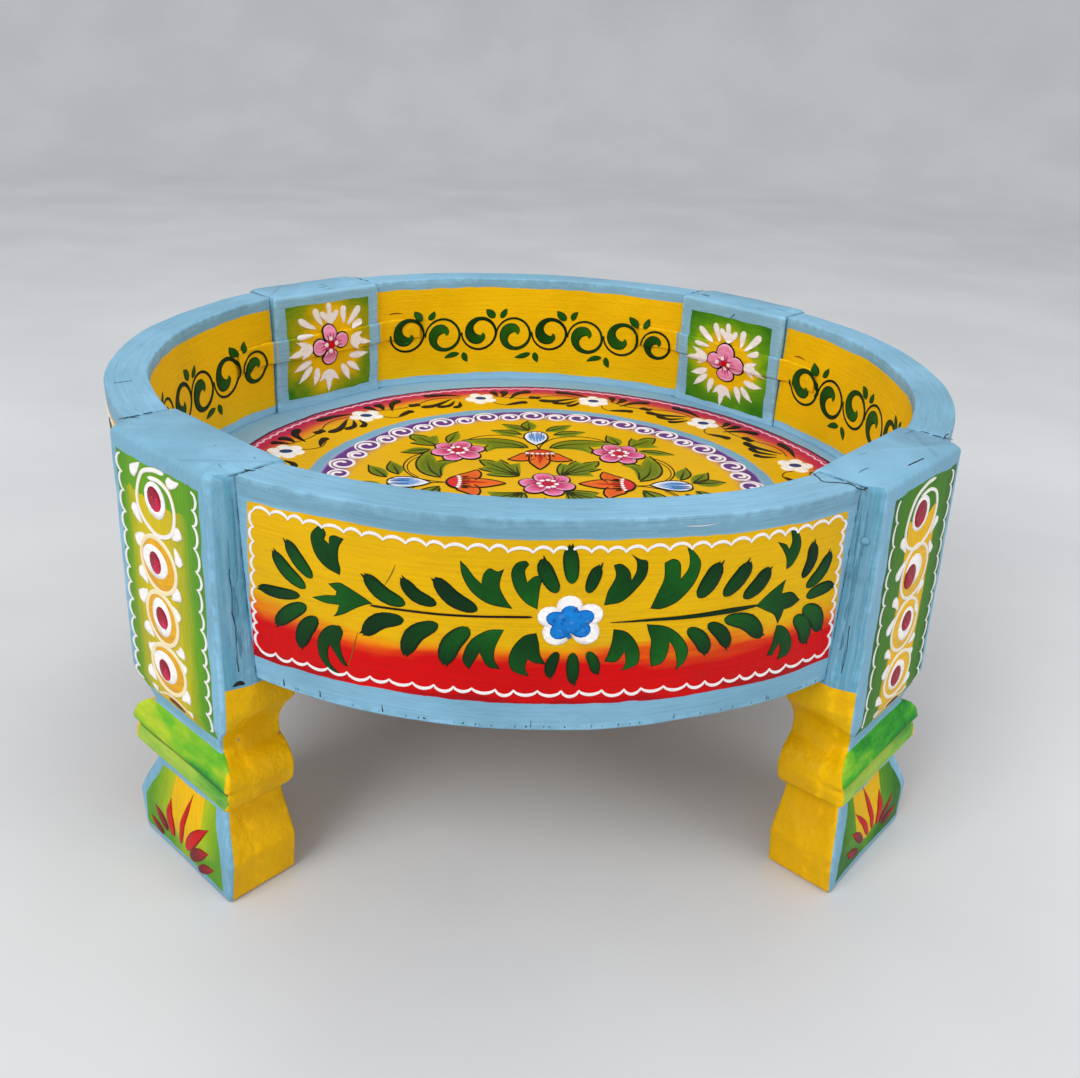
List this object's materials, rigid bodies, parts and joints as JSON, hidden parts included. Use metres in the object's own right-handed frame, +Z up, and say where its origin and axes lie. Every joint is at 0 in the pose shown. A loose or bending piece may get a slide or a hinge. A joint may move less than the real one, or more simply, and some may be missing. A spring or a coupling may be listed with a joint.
{
  "type": "round coffee table",
  "caption": "Low round coffee table with a sunken board inside a deep curved rim, carried by carved legs and painted all over with folk flowers.",
  "frame": {"origin": "centre of the table on the floor plane under its four soles", "axes": "+Z up, +X to the right and +Y to the back of the pictured view"},
  "size_m": [0.6, 0.6, 0.28],
  "materials": {
    "leg_paint": "sky blue brushed paint with painted panels",
    "rim_paint": "golden yellow and red brushed paint with a sky blue frame",
    "board_paint": "golden yellow brushed paint with painted rings and flowers",
    "bare_wood": "sawn, unpainted",
    "strap_paint": "flat iron strip painted over with the panel behind it",
    "nail_iron": "forged, dull"
  },
  "bodies": {
    "root": {"leg_front_left": "leg_paint", "leg_front_right": "leg_paint", "leg_back_right": "leg_paint", "leg_back_left": "leg_paint", "rim_front": "rim_paint", "rim_right": "rim_paint", "rim_back": "rim_paint", "rim_left": "rim_paint", "board_plank_1": "board_paint", "board_plank_2": "board_paint", "board_plank_3": "board_paint", "board_plank_4": "board_paint", "batten_left": "bare_wood", "batten_right": "bare_wood", "strap_front_left": "strap_paint", "strap_front_right": "strap_paint", "strap_back_right": "strap_paint", "strap_back_left": "strap_paint", "strap_nail_front_left_1": "nail_iron", "strap_nail_front_left_2": "nail_iron", "strap_nail_front_left_3": "nail_iron", "strap_nail_front_left_4": "nail_iron", "strap_nail_front_right_1": "nail_iron", "strap_nail_front_right_2": "nail_iron", "strap_nail_front_right_3": "nail_iron", "strap_nail_front_right_4": "nail_iron", "strap_nail_back_right_1": "nail_iron", "strap_nail_back_right_2": "nail_iron", "strap_nail_back_right_3": "nail_iron", "strap_nail_back_right_4": "nail_iron", "strap_nail_back_left_1": "nail_iron", "strap_nail_back_left_2": "nail_iron", "strap_nail_back_left_3": "nail_iron", "strap_nail_back_left_4": "nail_iron", "batten_nail_left_1": "nail_iron", "batten_nail_left_2": "nail_iron", "batten_nail_left_3": "nail_iron", "batten_nail_left_4": "nail_iron", "batten_nail_right_1": "nail_iron", "batten_nail_right_2": "nail_iron", "batten_nail_right_3": "nail_iron", "batten_nail_right_4": "nail_iron", "tenon_peg_front_left_1": "bare_wood", "tenon_peg_front_left_2": "bare_wood", "tenon_peg_front_right_1": "bare_wood", "tenon_peg_front_right_2": "bare_wood", "tenon_peg_back_right_1": "bare_wood", "tenon_peg_back_right_2": "bare_wood", "tenon_peg_back_left_1": "bare_wood", "tenon_peg_back_left_2": "bare_wood"}
  },
  "joints": []
}
